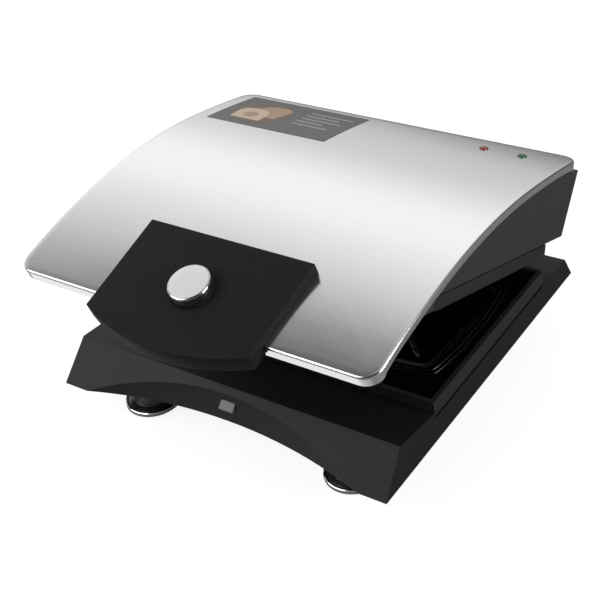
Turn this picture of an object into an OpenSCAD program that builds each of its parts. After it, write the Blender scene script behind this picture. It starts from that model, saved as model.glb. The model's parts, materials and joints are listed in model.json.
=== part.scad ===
// Two-slice breakfast sandwich maker with a hinged steel lid, a handle and a press latch.
// Millimetres. X is the width, Y runs from the handle to the hinge, Z is up.
// Lid pieces are drawn closed and then turned open by lid_rest_angle about the hinge.

/* [Baking plates] */
// Width of each plate frame
frame_w = 259; // [250:1:280]
// Depth of each plate frame
frame_d = 148.5; // [140:0.5:170]
// Height of the lower plate frame above the base deck
lower_frame_h = 11.6; // [10:0.2:16]
// Height of the upper plate frame
upper_frame_h = 9.6; // [9:0.2:16]
// Gap between the two frames when the lid is shut
frame_gap = 1; // [0.6:0.1:3]
// Wall of a plate frame
frame_wall = 3.2; // [2.4:0.1:4]
// Width of the shelf in a frame that the plate lies on
shelf_w = 5; // [4:0.5:6]
// Thickness of the cast plates
plate_t = 3; // [2.5:0.1:4]
// How far a plate's face lies under its frame's rim
face_sink = 0.4; // [0.2:0.1:1]
// Gap between the two bread cells
cell_gap = 15; // [12:0.5:20]
// Flat land between a cell and the side of its plate
cell_side_land = 7.5; // [6:0.5:12]
// Flat land between a cell and the front or rear of its plate
cell_end_land = 16.75; // [12:0.25:22]
// Radius of the bulging cell sides
cell_bow = 260; // [200:10:400]
// Depth of the bread pockets
pocket_depth = 10; // [9:0.5:12]
// Height of the dividing ridge above the pocket floor
ridge_h = 4.5; // [3:0.5:5]
// Number of terraces in the wall of a pocket
terraces = 3; // [2:1:4]
// Width of one terrace
terrace_w = 4; // [3:0.5:5]

/* [Base] */
// Height of the feet, which is how high the base stands
foot_h = 25; // [18:1:32]
// Radius of a foot at the floor
foot_r = 20.6; // [16:0.2:22]
// Distance of the feet from the middle line
foot_x = 84.4; // [70:0.5:95]
// Height of the base from its lower rim to the plate deck
base_h = 15; // [14:0.5:24]
// How much wider the base is at its lower rim than at the deck, on each side
base_flare = 1.6; // [0:0.2:6]
// How far the deck reaches past the plate frame at each side
deck_land = 0.9; // [0.5:0.1:4]
// Depth of the front ledge from the plate frame to the crest
ledge_d = 39.2; // [30:0.5:50]
// Height of the ledge over the deck beside the plate frame
ledge_h = 3.9; // [3:0.1:6]
// Height of the crest over the deck
crest_h = 9.45; // [6:0.05:10]
// How far the front face runs forward from the crest to the lower rim
apron_run = 25.1; // [18:0.5:32]
// Depth of the deck behind the plate frame
rear_deck_d = 31.2; // [28:0.5:45]
// How far the rear face runs back to the lower rim
rear_run = 6; // [3:0.5:12]
// Wall of the plastic housings
wall = 2.5; // [2:0.1:3]
// Radius of the hollow in the front of the base
scoop_r = 360; // [300:10:500]
// Depth of the hollow at its middle, at the lower rim
scoop_depth = 17.9; // [12:0.1:18]
// Lean of the hollow's wall from the vertical
scoop_lean = 9; // [0:1:12]

/* [Lid] */
// Angle of the open lid as it stands here
lid_rest_angle = 20.8; // [5:0.1:45]
// Width of the steel cover
cover_w = 277.3; // [270:0.1:300]
// Thickness of the steel cover
cover_t = 0.8; // [0.6:0.1:1.2]
// How far the cover reaches past the base at the front
cover_overhang = 14.4; // [8:0.2:20]
// Height of the cover's front edge over the lower rim of the base
cover_lip_h = 9.6; // [8:0.2:14]
// Slope of the cover at its front edge
cover_front_slope = 36; // [34:0.5:38]
// Depth of the flange along the front and rear edges
front_flange = 8; // [6:0.5:9]
// Depth of the flange along the side edges
side_flange = 5; // [4:0.5:7]
// Radius of the cover's corners seen from above
cover_corner = 12; // [6:1:20]
// Draft of the lid housing's side walls
lid_draft = 8; // [4:0.5:9]
// Clearance between the lid housing and the crest of the base
lid_clearance = 4.1; // [3:0.1:6]
// Distance of the printed label from the left edge of the cover
label_edge = 11.65; // [4:0.05:14]
// Width of the printed label
label_w = 104.5; // [80:0.5:112]
// Depth of the printed label
label_d = 59; // [40:1:64]
// Distance of the label from the rear edge of the cover
label_margin = 8; // [2:0.5:10]
// Distance of the lamp lenses from the rear edge of the cover
lens_back = 20; // [16:0.5:30]
// Distance of the red lens from the right edge of the cover
red_lens_edge = 61.65; // [55:0.05:75]
// Distance of the green lens from the right edge of the cover
green_lens_edge = 32.95; // [27:0.05:44]
// Radius of the lamp lenses
lens_r = 3.2; // [2.4:0.1:4]

/* [Hinge] */
// Height of the hinge axis over the deck
hinge_h = 8; // [7.5:0.1:12]
// Distance of the hinge axis behind the plate frame
hinge_back = 24; // [20:0.5:26]
// Radius of the hinge pins
pin_r = 3; // [2:0.1:3.5]
// Distance of each hinge from the middle line
hinge_x = 88; // [70:1:95]
// Width of the lid's hinge knuckle
knuckle_w = 11; // [8:0.5:16]
// Width of each hinge lug on the base
lug_w = 8; // [6:0.5:12]

/* [Handle and latch] */
// Width of the handle plate
handle_w = 127.2; // [110:0.2:140]
// Reach of the handle up the cover from its front edge
handle_back = 61.4; // [55:0.2:70]
// Reach of the handle's corners past the cover's front edge
handle_reach = 12.2; // [8:0.2:20]
// How far the handle's front edge bows out past its corners
handle_bow = 14.5; // [10:0.5:18]
// Height of the handle's top face over the cover's front edge
handle_rise = 5.7; // [5:0.1:8]
// Thickness of the grip in front of the cover
grip_t = 12; // [11:0.5:15]
// Wall of the handle's top shell
handle_wall = 2.2; // [1.8:0.1:3]
// Radius of the button's cap
cap_r = 14.2; // [12:0.1:16]
// Height of the cap's face over the handle
cap_top = 8.2; // [7.5:0.1:10]
// Distance from the cover's front edge up to the button's axis
button_up = 19.3; // [18:0.1:21]
// Travel of the button
button_travel = 2.6; // [2.2:0.1:2.8]
// Travel of the latch for each millimetre of the button
latch_ratio = 1.3; // [1.2:0.05:1.4]
// Width of the square catch
catch_w = 11.4; // [9:0.2:14]
// Width of the latch hook
hook_w = 9; // [6:0.5:10]

/* [Hidden] */

$fn = 96;
// Clearances
slip = 0.3;
pin_gap = 0.05;
seam = 0.8;
eps = 0.01;

// Heights and lines of the base
rim_z = foot_h;
deck_z = rim_z + base_h;
ledge_z = deck_z + ledge_h;
crest_z = deck_z + crest_h;
frame_front = -frame_d / 2;
frame_rear = frame_d / 2;
crest_y = frame_front - ledge_d;
base_front = crest_y - apron_run;
rear_top = frame_rear + rear_deck_d;
base_rear = rear_top + rear_run;
deck_w = frame_w + 2 * deck_land;
hinge_y = frame_rear + hinge_back;
hinge_z = deck_z + hinge_h;
scoop_wall_y = base_front + scoop_depth;

// Plates inside their frames, and the two cells in each
frame_in_w = frame_w - 2 * frame_wall;
frame_in_d = frame_d - 2 * frame_wall;
open_w = frame_in_w - 2 * shelf_w;
open_d = frame_in_d - 2 * shelf_w;
plate_w = frame_in_w - 2 * slip;
plate_d = frame_in_d - 2 * slip;
cell_w = (plate_w - cell_gap) / 2 - cell_side_land;
cell_d = plate_d - 2 * cell_end_land;
cell_x = (cell_w + cell_gap) / 2;

// Heights of the baking plates
lower_rim = deck_z + lower_frame_h;
lower_face = lower_rim - face_sink;
upper_rim = lower_rim + frame_gap;
upper_face = upper_rim + face_sink;
lid_deck_z = upper_rim + upper_frame_h;
tub_depth = pocket_depth + plate_t;
element_r = 3.25;
run_y = cell_d / 2 - 20;
heater_end = frame_w / 2 - 16.5;
pin_x = frame_w / 2 - 3.2;
element_z = -tub_depth - element_r;
reflector_t = 0.6;
reflector_z = element_z - element_r - 1.1;

// Curve of the cover: radius and sweep of each arc, from the front edge to the rear edge
cover_arcs = [[500, 11], [355, 15.5], [740, 5.5]];
cover_front = [base_front - cover_overhang, rim_z + cover_lip_h];
cover_rear_y = hinge_y - 6.7;
function sweep_before(i) = i == 0 ? 0 : sweep_before(i - 1) + cover_arcs[i - 1][1];
function slope_at(i) = cover_front_slope - sweep_before(i);
function unit_run(i) = cover_arcs[i][0] * (sin(slope_at(i)) - sin(slope_at(i + 1)));
function unit_rise(i) = cover_arcs[i][0] * (cos(slope_at(i + 1)) - cos(slope_at(i)));
cover_scale = (cover_rear_y - cover_front[0]) / (unit_run(0) + unit_run(1) + unit_run(2));
function arc_start(i) = i == 0 ? cover_front
    : arc_start(i - 1) + cover_scale * [unit_run(i - 1), unit_rise(i - 1)];
// A point on arc i where the slope is s, moved under the cover's face by depth
function cover_point(i, s, depth) =
    arc_start(i)
    + cover_scale * cover_arcs[i][0] * [sin(slope_at(i)) - sin(s), cos(s) - cos(slope_at(i))]
    + depth * [sin(s), -cos(s)];
// The whole curve from front to rear at one depth
arc_steps = 8;
function cover_curve(depth) = [
    for (i = [0:2], k = [(i == 0 ? 0 : 1):arc_steps])
        cover_point(i, slope_at(i) - cover_arcs[i][1] * k / arc_steps, depth)
];
cover_r = cover_scale * cover_arcs[0][0];
rear_slope = slope_at(3);
cover_rear = arc_start(3);

// Slope and axes of the handle's own frame, whose origin is the cover's front edge
handle_slope = cover_front_slope - 0.7;
function from_handle(p) = cover_front
    + p[0] * [cos(handle_slope), sin(handle_slope)] + p[1] * [-sin(handle_slope), cos(handle_slope)];

// Place of the whole object: its middle line in Y and its feet on the floor
function opened(p) = [
    hinge_y + (p[0] - hinge_y) * cos(lid_rest_angle) + (p[1] - hinge_z) * sin(lid_rest_angle),
    hinge_z - (p[0] - hinge_y) * sin(lid_rest_angle) + (p[1] - hinge_z) * cos(lid_rest_angle)
];
handle_tip = -handle_reach - handle_bow;
lid_rear_y = hinge_y + 0.4;
housing_corner = [lid_rear_y - 2.5, cover_rear[1] - front_flange - 1.4];
front_limit = opened(from_handle([handle_tip, handle_rise]))[0];
rear_limit = opened(housing_corner)[0];
middle_y = (front_limit + rear_limit) / 2;

// Catch: the tip of its ramp and the length of its sloping face
catch_tip = [scoop_wall_y - 1.6, rim_z + 10.4];
catch_rise = 5.2;

// Latch lines in the handle's own frame: along the cover (up), then away from it (out)
floor_out = (crest_z + lid_clearance - cover_front[1]) * cos(handle_slope)
    - (crest_y - cover_front[0]) * sin(handle_slope);
floor_top = floor_out + wall;
slider_t = 2.6;
slider_top = floor_out - slip;
slider_low = slider_top - slider_t;
bracket_top = slider_low - slip;
bracket_t = 2;
slider_front = 6.4;
slider_rear = 30;
slider_w = 20;
latch_travel = button_travel * latch_ratio;
bracket_front = slider_front - latch_travel - 1.2;
bracket_rear = slider_rear + 1.6;
bracket_flange = 9;
bracket_half = slider_w / 2 + slip + 2;
bracket_screw_x = bracket_half + bracket_flange / 2;
bracket_screws = [bracket_front + 5, bracket_rear - 5];
stem_front = button_up - 8.9;
stem_rear = button_up - 4.4;
stem_w = 6;
wedge_top = floor_out + 2.4;
wedge_tip = slider_low + 0.6;
spring_up = button_up + 4.8;
spring_r = 3.3;
spring_wire = 0.9;
spring_turns = 6;

// Button lines above the handle's frame
handle_under = handle_rise - handle_wall;
cap_face = handle_rise + cap_top;
body_low = 0.4;
body_top = cap_face - 1.1;
cavity_top = body_top - 1.8;
collar_low = 1.7;
handle_split = -1.5;
grip_low = handle_rise - grip_t;
grip_rear = -0.3;
grip_screw_x = 40;
grip_screw_u = -9;
handle_screw_x = 48;
handle_screws_u = [12, 48];

// Latch hook: its rear face, its arm and how far its nose reaches under the catch
hook_gap = 0.8;
hook_arm = 4;
hook_reach = 2;
hook_y = catch_tip[0] - hook_gap - hook_arm;
hook_up = (hook_y - cover_front[0] + (slider_low + 1) * sin(handle_slope)) / cos(handle_slope);

// Posts that hold the cover down
post_x = frame_w / 2 - 3.5;
post_y = frame_d / 2 - 22;
post_h = wall + 2.6;

// Screw places, one for each pair across the middle
bottom_screws = [[frame_w / 2 - 13.5, crest_y + 14], [frame_w / 2 - 17.5, rear_top - 12]];
plate_screw_x = frame_w / 2 - frame_wall - shelf_w / 2;
plate_screw_y = frame_d / 2 - frame_wall - shelf_w / 2;
rear_foot_y = frame_rear + 4;
front_foot_y = crest_y + 8.9;
gland_x = -60;
gland_z = rim_z + 7.4;
gland_r = 4.3;

// Electric parts of the base, and the line where wires meet the heater pins
block_y = frame_rear + 12;
fuse_x = 32;
fuse_y = frame_rear + 19;
fuse_z = rim_z + wall + 2.5;
fuse_length = 36;
wire_d = 2.4;

// Thermostat and lamps of the lid
thermostat_h = 18;
terminal_h = 4;
red_lens_x = cover_w / 2 - red_lens_edge;
green_lens_x = cover_w / 2 - green_lens_edge;
lens_xs = [red_lens_x, green_lens_x];
lamp_r = 2.2;
lamp_h = 8;
lamp_under = 4;
lead_h = 4;
lead_r = 0.35;

// A (y, z) outline drawn across the width w, centred on x
module across(w, x = 0) {
    translate([x - w / 2, 0, 0]) rotate([90, 0, 90]) linear_extrude(w) children();
}

// Places closed lid pieces at the angle of the open lid
module on_lid() {
    translate([0, hinge_y, hinge_z]) rotate([-lid_rest_angle, 0, 0])
        translate([0, -hinge_y, -hinge_z]) children();
}

// Places pieces drawn in the handle's frame: +Y up the slope, +Z away from the cover
module on_handle() {
    on_lid() translate([0, cover_front[0], cover_front[1]]) rotate([handle_slope, 0, 0]) children();
}

// Puts the finished model over the origin
module placed() {
    translate([0, -middle_y, 0]) children();
}

module mirrored_x() {
    children();
    mirror([1, 0, 0]) children();
}

module each_bottom_screw() {
    for (p = bottom_screws) mirrored_x() translate([p[0], p[1], rim_z]) children();
}

module at_corners(x, y) {
    for (i = [-1, 1], j = [-1, 1]) translate([i * x, j * y, 0]) children();
}

// Rectangle with round corners, centred
module rounded_rect(w, d, r) {
    square([w - 2 * r, d], center = true);
    square([w, d - 2 * r], center = true);
    at_corners(w / 2 - r, d / 2 - r) circle(r);
}

// Screw with its head's top at the origin, pointing down
module screw(d, head_d, head_h, length) {
    difference() {
        union() {
            translate([0, 0, -head_h]) cylinder(d = head_d, h = head_h);
            translate([0, 0, -length]) cylinder(d = d, h = length - head_h + eps);
        }
        for (a = [0, 90]) rotate(a)
            translate([-head_d * 0.3, -0.4, -head_h * 0.6]) cube([head_d * 0.6, 0.8, head_h]);
    }
}

function unit(v) = v / norm(v);

// Ring of wire corners slid along run i of the wire, up to the mitre at the run's far end
function slid_ring(points, ring, i) =
    let (along = unit(points[i + 1] - points[i]),
         facing = i == len(points) - 2 ? along : unit(along + unit(points[i + 2] - points[i + 1])))
    [for (q = ring) q + along * ((points[i + 1] - q) * facing) / (along * facing)];

function wire_rings(points, ring, i = 0) = i == len(points) - 1 ? ring
    : concat(ring, wire_rings(points, slid_ring(points, ring, i), i + 1));

// Wire of diameter d through a list of points, with mitred bends
module wire(points, d) {
    sides = 12;
    along = unit(points[1] - points[0]);
    side = unit(cross(along, abs(along[2]) < 0.9 ? [0, 0, 1] : [1, 0, 0]));
    first = [
        for (k = [0:sides - 1]) points[0]
            + d / 2 * (side * cos(360 * k / sides) + cross(along, side) * sin(360 * k / sides))
    ];
    skin = [
        for (i = [0:len(points) - 2], k = [0:sides - 1])
            let (a = i * sides + k, b = i * sides + (k + 1) % sides) [a, a + sides, b + sides, b]
    ];
    start = [for (k = [0:sides - 1]) k];
    end = [for (k = [sides - 1:-1:0]) (len(points) - 1) * sides + k];
    polyhedron(wire_rings(points, first), concat([start], skin, [end]));
}

// Base pieces

// Side outline of the base, taken in by w on every side but the bottom
function base_outline(w) = [
    [base_front + w * 1.45, rim_z - (w > 0 ? 1 : 0)],
    [crest_y + w * 0.45, crest_z - w],
    [frame_front - w, ledge_z - w],
    [frame_front - w, deck_z - w],
    [rear_top - w, deck_z - w],
    [base_rear - w, rim_z - (w > 0 ? 1 : 0)]
];

// Front view of the base: walls that lean in from the rim to the crest
module base_walls(w) {
    top = crest_z + 1;
    lean = base_flare / base_h;
    low = deck_w / 2 + base_flare - w;
    high = low - lean * (top - rim_z);
    translate([0, base_rear + 1, 0]) rotate([90, 0, 0]) linear_extrude(base_rear - base_front + 2)
        polygon([[-low, rim_z - 1], [low, rim_z - 1], [high, top], [-high, top]]);
}

// The round hollow under the front edge, grown by w
module scoop(w) {
    translate([0, scoop_wall_y, rim_z]) rotate([-scoop_lean, 0, 0])
        translate([0, -scoop_r, -20]) cylinder(r = scoop_r + w, h = 60, $fn = 240);
}

module base_shell() {
    difference() {
        intersection() {
            across(deck_w + 20) polygon(base_outline(0));
            base_walls(0);
        }
        difference() {
            intersection() {
                across(deck_w + 20) polygon(base_outline(wall));
                base_walls(wall);
            }
            scoop(wall);
        }
        scoop(0);
    }
}

// Screw posts from the top of the base down to the bottom cover
module base_posts() {
    intersection() {
        each_bottom_screw() translate([0, 0, wall]) cylinder(d = 8, h = base_h + crest_h);
        across(deck_w + 20) polygon(base_outline(0.5));
    }
}

module hinge_lugs() {
    mirrored_x() for (side = [-1, 1])
        translate([hinge_x + side * (knuckle_w / 2 + slip + lug_w / 2), 0, 0]) across(lug_w)
            union() {
                translate([hinge_y, hinge_z]) circle(hinge_h - 1);
                translate([hinge_y - hinge_h + 1, deck_z - 1]) square([2 * hinge_h - 2, hinge_h + 1]);
            }
}

module gland_seat() {
    translate([gland_x - 9, rear_top - 6, rim_z]) cube([18, rear_run + 6.5, base_h - 0.6]);
}

module base_housing() {
    color([0.16, 0.16, 0.17]) difference() {
        union() {
            base_shell();
            base_posts();
            hinge_lugs();
            gland_seat();
        }
        translate([0, 0, deck_z - 2 * wall]) linear_extrude(3 * wall)
            rounded_rect(open_w - 1, open_d - 1, 6);
        at_corners(plate_screw_x, plate_screw_y) translate([0, 0, deck_z - 5])
            cylinder(r = 1.9, h = 10);
        each_bottom_screw() cylinder(r = 1.8, h = base_h - wall - 1);
        translate([0, hinge_y, hinge_z]) rotate([0, 90, 0])
            cylinder(r = pin_r + pin_gap / 2, h = deck_w, center = true);
        translate([gland_x, base_rear + 5, gland_z]) rotate([90, 0, 0])
            cylinder(r = gland_r + pin_gap, h = 30);
        catch_pocket();
    }
}

// Hollow in the scoop's wall that the catch is pressed into
module catch_pocket() {
    across(catch_w + 0.2) translate(catch_tip + [1.8, -0.1]) square([7.2, catch_rise + 0.2]);
}

module catch_strike() {
    color([0.62, 0.62, 0.63]) across(catch_w)
        polygon([
            catch_tip, catch_tip + [7, 0], catch_tip + [7, catch_rise],
            catch_tip + [catch_rise, catch_rise]
        ]);
}

module bottom_cover() {
    t = wall;
    color([0.13, 0.13, 0.14]) difference() {
        intersection() {
            across(deck_w + 20) polygon(base_outline(wall + slip));
            base_walls(wall + slip);
            translate([-deck_w, base_front, rim_z]) cube([2 * deck_w, base_rear - base_front, t]);
        }
        scoop(wall + slip);
        each_bottom_screw() translate([0, 0, -1]) cylinder(r = 2.2, h = t + 2);
        each_bottom_screw() translate([0, 0, -eps]) cylinder(r = 4.2, h = 1.4);
        for (x = [-60:12:60]) translate([x - 2, -30, rim_z - 1]) cube([4, 60, t + 2]);
        translate([gland_x - 9 - slip, rear_top - 6 - slip, rim_z - 1]) cube([18 + 2 * slip, 40, t + 2]);
    }
}

module base_screws() {
    color([0.7, 0.7, 0.72]) each_bottom_screw()
        rotate([180, 0, 0]) screw(3.5, 8, 1.35, base_h - wall - 2);
}

// Places the four feet
module each_foot() {
    mirrored_x() for (y = [front_foot_y, rear_foot_y]) translate([foot_x, y, 0]) children();
}

module feet() {
    color([0.07, 0.07, 0.07]) each_foot() rotate_extrude() polygon([
        [0, 2], [foot_r - 2, 2], [foot_r - 2, 3.4], [foot_r - 5, 4.4],
        [foot_r * 0.62, foot_h * 0.45], [foot_r * 0.52, foot_h], [0, foot_h]
    ]);
}

module foot_rings() {
    color([0.55, 0.55, 0.56]) each_foot() rotate_extrude() polygon([
        [foot_r - 1.9, 1.2], [foot_r - 0.5, 1.2], [foot_r, 1.8],
        [foot_r, 4], [foot_r - 0.5, 4.6], [foot_r - 1.9, 4.6]
    ]);
}

module foot_pads() {
    color([0.1, 0.1, 0.1]) each_foot() rotate_extrude()
        polygon([[0, 0], [foot_r - 2.8, 0], [foot_r - 2.2, 0.6], [foot_r - 2.2, 2], [0, 2]]);
}

module terminal_block() {
    color([0.88, 0.86, 0.8]) translate([-24, block_y, rim_z + wall]) difference() {
        cube([36, 14, 9]);
        for (i = [0:2]) translate([6 + 12 * i, -1, 4]) rotate([-90, 0, 0]) cylinder(r = 1.9, h = 16);
        for (i = [0:2]) translate([6 + 12 * i, 7, 5]) cylinder(r = 1.7, h = 5);
    }
}

module thermal_fuse() {
    color([0.8, 0.78, 0.72]) translate([fuse_x, fuse_y, fuse_z]) rotate([0, 90, 0])
        union() {
            translate([0, 0, 8]) cylinder(r = 2.5, h = 20);
            cylinder(r = 0.6, h = fuse_length);
        }
}

module cord_gland() {
    color([0.08, 0.08, 0.08]) translate([gland_x, rear_top + rear_run + 0.5, gland_z]) rotate([90, 0, 0])
        difference() {
            union() {
                cylinder(r = gland_r, h = rear_run + 8);
                translate([0, 0, -3]) cylinder(r = gland_r + 1.4, h = 3);
                translate([0, 0, rear_run + 6.7]) cylinder(r = gland_r + 0.5, h = 2);
            }
            translate([0, 0, -4]) cylinder(r = gland_r - 1.4, h = rear_run + 14);
        }
}

// Wires from the terminal block through the fuse to the heater's two pins
module base_wiring() {
    low = rim_z + wall + wire_d / 2 + 0.05;
    start = [block_y + 3, rim_z + wall + 4];
    pin_z = lower_face + element_z;
    color([0.75, 0.7, 0.2]) union() {
        wire([
            [6, start[0], start[1]], [6, block_y - 2, start[1]], [22, block_y - 2, low + 1],
            [fuse_x - 0.2, fuse_y, fuse_z]
        ], wire_d);
        wire([
            [fuse_x + fuse_length + 0.2, fuse_y, fuse_z], [pin_x - 26, fuse_y - 2, low],
            [pin_x, frame_rear - 14, low + 3], [pin_x, run_y, pin_z]
        ], wire_d);
    }
    color([0.2, 0.35, 0.7]) wire([
        [-18, start[0], start[1]], [-18, block_y - 2, start[1]], [-18, block_y - 8, low],
        [pin_x - 26, frame_rear - 0.5, low], [pin_x, run_y + 6, low], [pin_x, 4 - run_y, low + 1],
        [pin_x, -run_y, pin_z]
    ], wire_d);
}

// Baking units, drawn with the cooking face at z = 0 and turned over for the lid

// Puts a baking piece into the base or, turned over, into the lid
module baking(upper) {
    if (upper) on_lid() translate([0, 0, upper_face]) mirror([0, 0, 1]) children();
    else translate([0, 0, lower_face]) children();
}

module plate_frame(h) {
    color([0.2, 0.2, 0.21]) difference() {
        union() {
            translate([0, 0, face_sink - h + seam]) linear_extrude(h - seam)
                square([frame_w, frame_d], center = true);
            translate([0, 0, face_sink - h]) linear_extrude(seam + eps)
                square([frame_w - 3, frame_d - 3], center = true);
        }
        translate([0, 0, -plate_t]) linear_extrude(plate_t + 1)
            square([frame_in_w, frame_in_d], center = true);
        translate([0, 0, -h - 1]) linear_extrude(h) square([open_w, open_d], center = true);
        at_corners(plate_screw_x, plate_screw_y) translate([0, 0, -h - 1]) cylinder(r = 1.9, h = h);
    }
}

// Outline of one bread cell with four bulging sides, taken in by inset
module cell(inset) {
    intersection() {
        translate([cell_w / 2 - cell_bow, 0]) circle(cell_bow - inset, $fn = 240);
        translate([cell_bow - cell_w / 2, 0]) circle(cell_bow - inset, $fn = 240);
        translate([0, cell_d / 2 - cell_bow]) circle(cell_bow - inset, $fn = 240);
        translate([0, cell_bow - cell_d / 2]) circle(cell_bow - inset, $fn = 240);
        circle(norm([cell_w, cell_d]) / 2 - 6 - inset);
    }
}

// Ridge along one diagonal of a cell, which parts the two halves of a slice
module ridge() {
    foot = -pocket_depth - 1;
    crown = ridge_h - pocket_depth;
    intersection() {
        rotate([0, 0, atan2(cell_d, cell_w)]) rotate([90, 0, 90])
            linear_extrude(2 * cell_w, center = true)
            polygon([[-4, foot], [4, foot], [0.6, crown], [-0.6, crown]]);
        translate([0, 0, foot]) linear_extrude(pocket_depth) cell(terrace_w);
    }
}

// Height of terrace k, counted down from the plate's face
function terrace_z(k) = -(pocket_depth * k + 1.5) / (terraces + 0.15);

module both_cells() {
    for (side = [-1, 1]) translate([side * cell_x, 0, 0]) children();
}

module plate() {
    color([0.05, 0.05, 0.05]) difference() {
        union() {
            difference() {
                union() {
                    translate([0, 0, -plate_t]) linear_extrude(plate_t)
                        square([plate_w, plate_d], center = true);
                    both_cells() translate([0, 0, -tub_depth]) linear_extrude(tub_depth - 1) cell(1);
                }
                both_cells() for (k = [0:terraces]) translate([0, 0, terrace_z(k)])
                    linear_extrude(pocket_depth + 1) cell(terrace_w * k);
            }
            both_cells() ridge();
        }
        at_corners(plate_screw_x, plate_screw_y) translate([0, 0, -plate_t - 1])
            cylinder(r = 1.5, h = plate_t);
    }
}

module plate_screws(h) {
    color([0.7, 0.7, 0.72]) at_corners(plate_screw_x, plate_screw_y)
        translate([0, 0, face_sink - h - wall - 1.8]) rotate([180, 0, 0])
            screw(3, 6.4, 1.8, h + wall + 0.2);
}

// Bent tube heater: two runs joined by a half turn, with a pin at each end
module heating_element() {
    bend_x = run_y - heater_end + 9;
    color([0.45, 0.43, 0.42]) translate([0, 0, element_z]) union() {
        translate([bend_x, 0, 0]) rotate(90) rotate_extrude(angle = 180)
            translate([run_y, 0]) circle(element_r, $fn = 32);
        for (y = [-run_y, run_y]) {
            translate([bend_x, y, 0]) rotate([0, 90, 0])
                cylinder(r = element_r, h = heater_end - bend_x, $fn = 32);
            translate([heater_end - 1, y, 0]) rotate([0, 90, 0]) cylinder(r = 1.2, h = 13, $fn = 24);
        }
    }
}

module heat_reflector(rim_h, hole_r) {
    w = open_w + 2;
    d = open_d + 2;
    color([0.72, 0.72, 0.73]) translate([0, 0, reflector_z - reflector_t]) difference() {
        linear_extrude(rim_h) rounded_rect(w, d, 8);
        translate([0, 0, reflector_t]) linear_extrude(rim_h)
            rounded_rect(w - 2 * reflector_t, d - 2 * reflector_t, 8 - reflector_t);
        translate([0, 0, -1]) cylinder(r = hole_r, h = 3);
        for (y = [-run_y, run_y]) translate([w / 2 - 5, y, element_z - reflector_z + reflector_t])
            rotate([0, 90, 0]) cylinder(r = 1.2 + pin_gap, h = 10, $fn = 24);
    }
}

module lower_plate_frame() {
    baking(false) plate_frame(lower_frame_h);
}

module upper_plate_frame() {
    baking(true) plate_frame(upper_frame_h);
}

module lower_plate() {
    baking(false) plate();
}

module upper_plate() {
    baking(true) plate();
}

module lower_plate_screws() {
    baking(false) plate_screws(lower_frame_h);
}

module upper_plate_screws() {
    baking(true) plate_screws(upper_frame_h);
}

module lower_heating_element() {
    baking(false) heating_element();
}

module upper_heating_element() {
    baking(true) heating_element();
}

module lower_heat_reflector() {
    baking(false) heat_reflector(deck_z - wall - lower_face - reflector_z + reflector_t, 3);
}

module upper_heat_reflector() {
    baking(true) heat_reflector(upper_face - lid_deck_z - wall - reflector_z + reflector_t, 8);
}

// Hinge

module hinge_pins() {
    pin_length = knuckle_w + 2 * slip + 2 * lug_w;
    color([0.75, 0.75, 0.76]) mirrored_x() translate([hinge_x, hinge_y, hinge_z]) rotate([0, 90, 0])
        cylinder(r = pin_r, h = pin_length, center = true);
}

// Lid pieces, drawn closed

// Strip under the cover's face from depth a to depth b
module cover_strip(a, b, w) {
    lower = cover_curve(b);
    across(w) polygon(concat(cover_curve(a), [for (i = [len(lower) - 1:-1:0]) lower[i]]));
}

// Everything lower than depth under the cover's face
module below_cover(depth) {
    curve = cover_curve(depth);
    beyond = cover_rear[0] + 40;
    across(cover_w + 2)
        polygon(concat(curve, [[beyond, cover_rear[1]], [beyond, -90], [curve[0][0], -90]]));
}

// Prism square to the cover at one end, with round corners there, taken in by inset
module corner_prism(end, slope, inset) {
    length = norm(cover_rear - cover_front) * 2;
    translate([0, end[0], end[1]]) rotate([slope, 0, 0]) translate([0, 0, -200]) linear_extrude(400)
        translate([0, length / 2])
        rounded_rect(cover_w - 2 * inset, length - 2 * inset, cover_corner - inset);
}

// The same prism at the rear edge
module rear_prism(inset) {
    mirror([0, 1, 0]) corner_prism([-cover_rear[0], cover_rear[1]], -rear_slope, inset);
}

module cover_body(inset, depth) {
    intersection() {
        cover_strip(inset, depth, cover_w);
        corner_prism(cover_front, cover_front_slope, inset);
        rear_prism(inset);
    }
}

module lid_cover() {
    on_lid() color([0.86, 0.86, 0.87]) difference() {
        union() {
            cover_body(0, side_flange);
            intersection() {
                cover_body(0, front_flange);
                flange_ends();
            }
        }
        cover_body(cover_t, front_flange + 10);
        cover_holes();
    }
    on_lid() color([0.86, 0.86, 0.87]) difference() {
        intersection() {
            each_lid_post() translate([0, 0, post_h]) cylinder(r = 2.5, h = 90);
            below_cover(cover_t - 0.1);
            lid_walls(wall + pin_gap);
        }
        each_lid_post() translate([0, 0, post_h - 1]) cylinder(r = 1.25, h = 9);
    }
}

// The zones at both ends of the cover where its flange is deeper
module flange_ends() {
    translate([0, cover_front[0], cover_front[1]]) rotate([cover_front_slope, 0, 0])
        translate([-cover_w, -5, -30]) cube([2 * cover_w, 5 + cover_corner, 60]);
    translate([0, cover_rear[0], cover_rear[1]]) rotate([rear_slope, 0, 0])
        translate([-cover_w, -cover_corner, -30]) cube([2 * cover_w, 5 + cover_corner, 60]);
}

// Place on the cover's face at a distance along the last arc from its rear edge
lens_slope = rear_slope + lens_back / (cover_scale * cover_arcs[2][0]) * 180 / PI;
module on_lens(x) {
    p = cover_point(2, lens_slope, 0);
    translate([x, p[0], p[1]]) rotate([lens_slope, 0, 0]) children();
}

module cover_holes() {
    each_lens() translate([0, 0, -4]) cylinder(r = lens_r + slip / 2, h = 8);
    in_handle() translate([0, button_up, -12]) cylinder(r = cap_r + 2, h = 24);
    in_handle() at_handle_screws() translate([0, 0, -12]) cylinder(r = 1.6, h = 24);
}

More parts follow.
